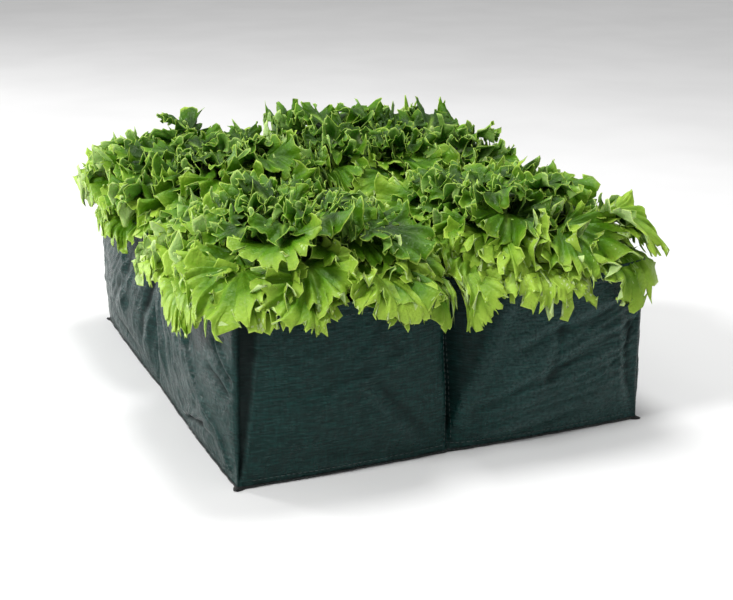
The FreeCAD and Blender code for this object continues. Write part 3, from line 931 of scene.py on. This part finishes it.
def turned_body(name, centre, radii, heights, roughness, grain, seed, material, sides=72):
    """A closed round body from radii at heights, roughened by noise."""
    turn = np.linspace(0, 2 * np.pi, sides, endpoint=False)
    radii, heights = np.asarray(radii)[:, None], np.asarray(heights)[:, None]
    x, y = radii * np.cos(turn), radii * np.sin(turn)
    points = np.stack([x, y, np.broadcast_to(heights, x.shape)], -1)
    points += unit(points * [1, 1, 0]) * (roughness * layered_noise(points, grain, seed))[..., None]
    points[..., :2] += centre
    rows = len(radii)
    low, high = points[0].mean(axis=0), points[-1].mean(axis=0)
    vertices = np.concatenate([points.reshape(-1, 3), [low, high]])
    index = np.arange(sides)
    after = (index + 1) % sides
    faces = [np.stack([r * sides + index, r * sides + after, (r + 1) * sides + after,
                       (r + 1) * sides + index], -1) for r in range(rows - 1)]
    quads = np.concatenate(faces)
    triangles = np.concatenate([
        np.stack([after, index, np.full(sides, rows * sides)], -1),
        np.stack([(rows - 1) * sides + index, (rows - 1) * sides + after,
                  np.full(sides, rows * sides + 1)], -1),
    ])
    split = np.concatenate([quads[:, [0, 1, 2]], quads[:, [0, 2, 3]], triangles])
    return mesh_piece(name, vertices, split, [material])


def make_plug_and_stem(pocket, signs, number):
    """A lettuce's plug of potting soil, the fine roots on it, and its short stem."""
    body = f"lettuce_{pocket}"
    low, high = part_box(f"{body}_root_plug")
    top_radius = (high[0] - low[0]) / 2 - MM
    centre = head_centre(signs)
    share = np.linspace(0, 1, 26)
    radii = top_radius * (0.8 + 0.19 * share)
    radii[0], radii[-1] = 0.55 * top_radius, 0.9 * top_radius
    heights = low[2] + MM + (high[2] - low[2] - MM) * share
    plug = turned_body(f"{body}_soil_plug", centre, radii, heights, 0.9 * MM, 7 * MM, 801 + number,
                       PLUG_SOIL)
    attach(plug, body, "root_plug", f"{body}_root_plug")

    random = np.random.default_rng(820 + number)
    starts, ends, outs = [], [], []
    for _ in range(46):
        angle = random.uniform(0, 2 * np.pi)
        path = np.linspace(0.97, random.uniform(0.05, 0.5), 14)
        angles = angle + np.cumsum(random.normal(0, 0.07, 14))
        radius = top_radius * (0.8 + 0.19 * path) + 0.5 * MM
        out = np.stack([np.cos(angles), np.sin(angles), angles * 0], -1)
        line = out * radius[:, None] + [*centre, 0]
        line[:, 2] = low[2] + (high[2] - low[2]) * path
        starts.append(line[:-1])
        ends.append(line[1:])
        outs.append(out[:-1])
    vertices, faces = rods(np.concatenate(starts), np.concatenate(ends), np.concatenate(outs), 0.4 * MM)
    roots = mesh_piece(f"{body}_fine_roots", vertices, faces, [ROOT])
    attach(roots, body, "root_plug")

    share = np.linspace(0, 1, 30)
    radii = (13 - 5 * share + 0.8 * np.sin(share * 40)) * MM
    heights = MIX_TOP - 1.5 * MM + 24 * MM * share
    stem = turned_body(f"{body}_butt", centre, radii, heights, 0.8 * MM, 9 * MM, 840 + number, STEM)
    attach(stem, body, "stem", f"{body}_stem")


# ---------------------------------------------------------------- lettuce leaves

# Leaves from the outermost to the innermost: their share through the head, length and blade in
# millimetres, rise of the midrib at the stem and at the tip in degrees, ruffle and start height.
GROWTH = (
    ("share", (0.0, 0.18, 0.4, 0.6, 0.8, 1.0)),
    ("length", (200, 190, 170, 146, 116, 80)),
    ("blade", (86, 76, 62, 52, 42, 30)),
    ("rise", (28, 42, 54, 64, 73, 84)),
    ("fall", (-84, -70, -58, -44, -24, 30)),
    ("ruffle", (11, 11, 10.5, 9.5, 7.5, 4.5)),
    ("start", (2, 6, 12, 18, 24, 30)),
    ("tone", (1.1, 0.78, 0.4, 0.26, 0.22, 0.4)),
)

# Where each head's crowns lean to, in millimetres along x and y, how tall each grows and how
# many leaves it has. One head has grown two crowns.
CROWNS = {
    "front_left": ((6, 14, 0.93, 88),),
    "front_right": ((6, 14, 0.92, 88),),
    "back_right": ((-44, 42, 1.01, 38), (46, 26, 0.94, 38)),
    "back_left": ((10, 30, 0.94, 88),),
}
# The pieces that a head's leaves are gathered into: name, finish, and the nodes they stand for.
LEAF_LAYERS = (
    ("skirt", "outer_leaf", ()),
    ("spreading", "outer_leaf", ("outer_leaves",)),
    ("inner", "outer_leaf", ()),
    ("heart", "heart_leaf", ("heart",)),
)
EDGE_LEAVES = 15  # extra leaves round the two sides where a head hangs over the walls
GOLDEN_ANGLE = math.pi * (3 - math.sqrt(5))

# How the heads lie over the rim. The first three say how far leaves may reach past the walls.
OVER_ENDS = 38 * MM
OVER_RIGHT = 22 * MM
OVER_LEFT = 37 * MM
HANG_FRONT = 62 * MM
HANG_BACK = 40 * MM
BORDER_WAVE = 13 * MM  # how far the line between two heads wanders
SKIN = 30 * MM  # a hanging leaf nearer to the wall than this is pushed out
SKIN_PUSH = 0.46  # by this share of what is missing
OVER_RIM = 3 * MM  # how far leaves stay above the hem and the mix


def grown(key, share):
    """A value of GROWTH at a share of the way into the head."""
    table = dict(GROWTH)
    return float(np.interp(share, table["share"], table[key]))


def spine(length, rise, fall):
    """Radial and upright travel of a midrib that starts at rise and ends at fall (degrees)."""
    travel = np.linspace(-0.3, 1.3, 161) * length
    share = np.clip(travel / length, 0, 1.15)
    angle = np.radians(rise + (fall - rise) * share**2.1)
    step = travel[1] - travel[0]
    out = np.cumsum(np.cos(angle)) * step
    up = np.cumsum(np.sin(angle)) * step
    zero = np.argmin(np.abs(travel))
    return travel, out - out[zero], up - up[zero], angle


def wavy(run, count, random, wander=0.9):
    """A wave along a margin, count waves long, whose pace wanders."""
    first, second = random.uniform(0, 2 * np.pi, 2)
    return 2 * np.pi * count * run + first + wander * np.sin(2 * np.pi * run * count / 3.1 + second)


def leaf_points(random, length, blade_length, rise, fall, ruffle, rows, columns):
    """One ruffled leaf along +X from the stem at the origin, and its colour fields."""
    side = np.linspace(-1, 1, columns)[None, :]
    run = np.linspace(0, 1, columns)[None, :]
    reach = (np.linspace(0, 1, rows) ** 0.75)[:, None]
    stalk = length - blade_length
    opening = np.radians(random.uniform(98, 116))
    angle = side * opening
    blade = np.clip((reach - 0.12) / 0.88, 0, 1)
    margin_length = 1.6 * opening * blade_length
    lobes = wavy(run, margin_length / (random.uniform(19, 25) * MM), random)
    folds = wavy(run, margin_length / (random.uniform(27, 34) * MM), random)
    frills = wavy(run, margin_length / (random.uniform(11.5, 15) * MM), random, 0.8)
    teeth = wavy(run, margin_length / (random.uniform(5.4, 6.6) * MM), random, 0.5)
    strength = 0.8 + 0.35 * np.sin(2 * np.pi * 1.3 * run + random.uniform(0, 6))
    outline = blade_length * (0.5 + 0.5 * np.cos(angle).clip(0, 1) ** 1.5) * (1 - 0.22 * np.abs(side) ** 3)
    notch = (0.5 + 0.5 * np.cos(lobes)) ** 2.2
    frill_notch = (0.5 + 0.5 * np.cos(frills)) ** 2
    jagged = 0.5 + 0.5 * smooth_noise(np.stack([frills / 2, frills * 0, frills * 0], -1), 1.0, 37)
    radius = outline * blade * (1 - 0.16 * blade**3 * notch - 0.09 * blade**6 * frill_notch
                                - 0.13 * jagged * blade**10 * (0.5 + 0.5 * np.cos(teeth)))
    sway = (4.6 * blade**2 * np.sin(2 * folds) + 2.2 * blade**3 * np.sin(2 * frills)) * MM
    bent = angle - sway * strength * 2 * opening / margin_length
    along = np.minimum(reach / 0.12, 1) * stalk + radius * np.cos(bent)
    lateral = side * (5 + 4 * reach) * MM + radius * np.sin(bent)
    wander = 1.7 * smooth_noise(np.stack([along, lateral, along * 0], -1), 26 * MM, random.integers(1000))
    folds, frills = folds + wander * blade, frills + 1.6 * wander * blade
    curl = smooth_noise(np.stack([lobes / 3, lobes * 0, lobes * 0], -1), 1.0, random.integers(1000))
    lift = ruffle * strength * (1.1 * curl * blade**4 + blade**1.7 * np.sin(folds)
                                + 0.66 * blade**2.6 * np.sin(frills) + 0.16 * blade**6 * np.sin(teeth))
    flat = np.stack([along, lateral, along * 0 + random.uniform(0, 60)], -1)
    lift = lift + 1.3 * MM * smooth_noise(flat, 11 * MM, 31) * blade
    lift = lift + 0.55 * ruffle * smooth_noise(flat, 30 * MM, 32) * blade
    rib = np.exp(-((lateral / ((3.4 - 2.0 * reach) * MM)) ** 2)) * (1 - smoothstep(reach, 0.3, 0.8))
    lift = lift - 1.0 * MM * rib
    lift = lift + random.uniform(-0.6, 1.6) * lateral**2 / length
    sides_up = random.uniform(0.1, 0.75) * random.choice([-1, 1], p=[0.72, 0.28])
    travel, out, up, tilt = spine(length, rise, fall)
    turned = np.interp(along, travel, tilt)
    x = np.interp(along, travel, out) - lift * np.sin(turned)
    z = np.interp(along, travel, up) + lift * np.cos(turned)
    z = z + sides_up * blade**3 * np.abs(side) * 9 * MM
    rays = np.abs(np.sin(angle * random.uniform(5.5, 7.5) + 0.5 * reach))
    veins = (1 - rays) ** 5 * blade * (1 - 0.5 * blade)
    twigs = (1 - np.abs(np.sin(angle * 23 + 8 * reach))) ** 4 * blade * 0.4
    fields = {"margin": np.broadcast_to(reach, x.shape), "vein": np.clip(veins + twigs, 0, 1), "rib": rib}
    return np.stack([x, -lateral, z], -1), fields


def soft_limit(value, start, limit):
    """value up to start, then easing towards limit."""
    room = limit - start
    return np.where(value > start, start + room * (1 - np.exp(-(value - start) / room)), value)


def footprint(turn, signs):
    """How far a head spreads in a direction, to its neighbours or over the walls."""
    east, north = np.cos(turn), np.sin(turn)
    over_side = 20 * MM if signs[0] < 0 else 5 * MM
    wide = HALF_WIDTH / 2 + (over_side if east * signs[0] > 0 else 0)
    deep = HALF_DEPTH / 2 + (20 * MM if north * signs[1] > 0 else 0)
    square = 7 if signs[0] > 0 or (signs[1] < 0 and north < 0) else 4
    return (np.abs(east / wide) ** square + np.abs(north / deep) ** square) ** (-1 / square)


# How far each side's rim bows out, at places along it.
RIM_PLACES = {side: np.linspace(-1, 1, 600) * FRAMES[side][2] for side in SIDES}
RIM_BOWS = {side: wall_shape(side, alongs, np.full(alongs.shape, RIM))[0].clip(0)
            for side, alongs in RIM_PLACES.items()}


def settle(points, signs):
    """Keeps leaves to their own pocket's side, off the walls, the mix and the limits."""
    points = points.copy()
    sx, sy = signs
    divider_gap = 1.5 * MM
    for axis, sign, half in ((0, sx, HALF_WIDTH), (1, sy, HALF_DEPTH)):
        beside = points[..., [1 - axis] * 3] * [1, 0, 0] + axis
        border = BORDER_WAVE * smooth_noise(beside, (38 * MM, 1, 1), 61)
        limit = half / 2 - divider_gap - sign * border
        inward = soft_limit(half / 2 - sign * points[..., axis], 0.8 * limit, limit)
        reach = OVER_ENDS if axis else OVER_RIGHT if sx > 0 else OVER_LEFT
        outward = soft_limit(half / 2 - inward, half + 0.6 * reach, half + reach)
        points[..., axis] = sign * outward
    x, y = points[..., 0], points[..., 1]
    side, end = "right" if sx > 0 else "left", "back" if sy > 0 else "front"
    beyond_x = sx * x - HALF_WIDTH - np.interp(sx * y, RIM_PLACES[side], RIM_BOWS[side])
    beyond_y = sy * y - HALF_DEPTH - np.interp(-sy * x, RIM_PLACES[end], RIM_BOWS[end])
    beyond = np.maximum(beyond_x, beyond_y)
    low = np.clip((RIM + OVER_RIM - points[..., 2]) / (12 * MM), 0, 1)
    outside = beyond > -4 * MM
    push = np.where(outside, np.clip(SKIN - beyond, 0, None) * SKIN_PUSH, 0) * low
    widest_x = beyond_x > beyond_y
    points[..., 0] += np.where(widest_x, sx * push, 0)
    points[..., 1] += np.where(widest_x, 0, sy * push)
    on_rim = ~outside & (beyond > -30 * MM)
    floor = np.where(on_rim, RIM, MIX_TOP) + OVER_RIM
    over_hem = RIM - 4 * MM - 3 * np.clip(beyond + 4 * MM, 0, None)
    points[..., 2] = np.maximum(points[..., 2], np.where(outside, over_hem, floor))
    hang = HANG_FRONT if sy < 0 else HANG_BACK
    sunk = soft_limit(RIM - points[..., 2], 0.6 * hang, hang)
    points[..., 2] = RIM - sunk
    points[..., 2] = soft_limit(points[..., 2], HEAD_TOP + 2 * MM, HEAD_TOP + 14 * MM)
    return points


def grow_leaf(random, signs, crown, share, turn):
    """One leaf of a head in its place, and its colour fields."""
    lean_x, lean_y, tall, _ = crown
    spread = 1 + (footprint(turn, signs) / (152 * MM) - 1) * (1 - 0.7 * share)
    length = grown("length", share) * spread * random.uniform(0.88, 1.07) * MM
    blade = grown("blade", share) * spread * random.uniform(0.8, 1.2) * MM
    ruffle = grown("ruffle", share) * random.choice([0.6, 1.0, 1.2], p=[0.15, 0.5, 0.35]) * MM
    rise = grown("rise", share) + random.uniform(-8, 8)
    fall = grown("fall", share) + random.uniform(-28, 28) + (14 if signs[1] > 0 else 0)
    rows, columns = (14, 132) if share < 0.6 else (12, 100)  # finer where leaves are larger
    leaf, fields = leaf_points(random, length, blade, rise, fall, ruffle, rows, columns)
    twist = Matrix.Rotation(random.choice([0.4, 0.9], p=[0.8, 0.2]) * random.uniform(-1, 1), 3, "X")
    points = leaf @ np.array(Matrix.Rotation(turn, 3, "Z") @ twist).T
    points[..., 2] *= tall
    lean = smoothstep(points[..., 2], 0, 70 * MM)[..., None] * np.array([lean_x, lean_y, 0]) * MM
    centre = head_centre(signs)
    root = 9 * MM * (1 - share)
    points = points + lean + [centre[0] + root * np.cos(turn), centre[1] + root * np.sin(turn),
                              MIX_TOP + grown("start", share) * MM]
    tone = grown("tone", share) + random.uniform(-0.32, 0.26) - 0.12 * (signs[1] > 0)
    fields["tone"] = float(np.clip(tone, 0, 1.2))
    return settle(points, signs), fields


def leaf_places(random, signs, crown):
    """Share and direction of each leaf: a spiral from the skirt to the heart, and edge leaves."""
    count = crown[3]
    shares = ((np.arange(count) + 0.5) / count) ** 1.15
    turns = np.arange(count) * GOLDEN_ANGLE + random.uniform(-0.16, 0.16, count)
    corner = math.atan2(signs[1] * HALF_DEPTH, signs[0] * HALF_WIDTH)
    fan = np.radians(np.linspace(-116, 116, EDGE_LEAVES) + random.uniform(-5, 5, EDGE_LEAVES))
    edge_shares = random.uniform(0.0, 0.2, EDGE_LEAVES)
    return sorted([*zip(shares, turns), *zip(edge_shares, corner + fan)])


def make_leaves(pocket, signs, number):
    """A head's leaves, in four pieces from the skirt to the heart."""
    body = f"lettuce_{pocket}"
    random = np.random.default_rng(900 + number)
    layers = [Shells() for _ in LEAF_LAYERS]
    for crown in CROWNS[pocket]:
        places = leaf_places(random, signs, crown)
        for index, (share, turn) in enumerate(places):
            points, fields = grow_leaf(random, signs, crown, share, turn)
            shells = layers[len(layers) * index // len(places)]
            shells.add(points, 0.4 * MM, over=0, under=1, edge=2, **fields)
    for shells, (layer, slot, nodes) in zip(layers, LEAF_LAYERS):
        piece = shells.build(f"{body}_{layer}_leaves", LEAF_MATERIALS, LEAF_KEYS)
        attach(piece, body, slot, *[f"{body}_{node}" for node in nodes])


# ---------------------------------------------------------------- stage, light and camera

def make_stage():
    """A pale floor under an even pale sky."""
    mesh = bpy.data.meshes.new("floor")
    half = 6.0
    corners = [(-half, -half, 0), (half, -half, 0), (half, half, 0), (-half, half, 0)]
    mesh.from_pydata(corners, [], [(0, 1, 2, 3)])
    floor = bpy.data.objects.new("floor", mesh)
    bpy.context.collection.objects.link(floor)
    nodes = Nodes("pale_floor")
    tint = nodes.noise(nodes.place(), 3.0, 2.0)
    color = nodes.mix(nodes.spread(tint, 0.3, 0.7), (0.86, 0.86, 0.86), (0.9, 0.9, 0.9))
    mesh.materials.append(nodes.finish(Base_Color=color, Roughness=0.9))
    world = bpy.data.worlds.new("studio")
    bpy.context.scene.world = world
    world.use_nodes = True
    world.node_tree.nodes["Background"].inputs["Color"].default_value = (1, 1, 1, 1)
    world.node_tree.nodes["Background"].inputs["Strength"].default_value = 0.5


def add_light(name, place, target, size, power):
    light = bpy.data.lights.new(name, "AREA")
    light.shape = "DISK"
    light.size = size
    light.energy = power
    holder = bpy.data.objects.new(name, light)
    holder.location = place
    holder.rotation_euler = (Vector(target) - Vector(place)).to_track_quat("-Z", "Y").to_euler()
    bpy.context.collection.objects.link(holder)


def make_lights():
    """Soft studio lights: their places, sizes in metres and power in watts."""
    middle = (0, 0, 0.15)
    add_light("key", (-1.9, -0.6, 1.85), middle, 0.5, 40)
    add_light("top", (0.2, 0.3, 2.3), middle, 0.8, 30)
    add_light("side", (-2.2, 2.4, 0.9), middle, 0.8, 54)


def make_camera():
    """Left of the near corner, looking down and to the right across the bag."""
    camera = bpy.data.cameras.new("camera")
    camera.sensor_width = 36.0
    camera.lens = 68.4
    camera.clip_start = 0.05
    holder = bpy.data.objects.new("camera", camera)
    yaw, pitch = math.radians(22.8), math.radians(18.5)
    away = Vector((math.sin(yaw) * math.cos(pitch), math.cos(yaw) * math.cos(pitch), -math.sin(pitch)))
    holder.location = (-HALF_WIDTH - 0.395, -HALF_DEPTH - 1.295, 0.665)
    holder.rotation_euler = away.to_track_quat("-Z", "Y").to_euler()
    bpy.context.collection.objects.link(holder)
    bpy.context.scene.camera = holder


bpy.context.scene.view_settings.view_transform = "Standard"
make_camera()
make_stage()
make_lights()
make_base_cloth()
make_walls()
make_rim_hems()
make_base_binding()
make_corner_tabs()
make_dividers()
make_seam_allowances()
make_stitching()
make_potting_mix()
for pocket_number, (pocket_name, pocket_signs) in enumerate(POCKETS.items()):
    make_plug_and_stem(pocket_name, pocket_signs, pocket_number)
    make_leaves(pocket_name, pocket_signs, pocket_number)
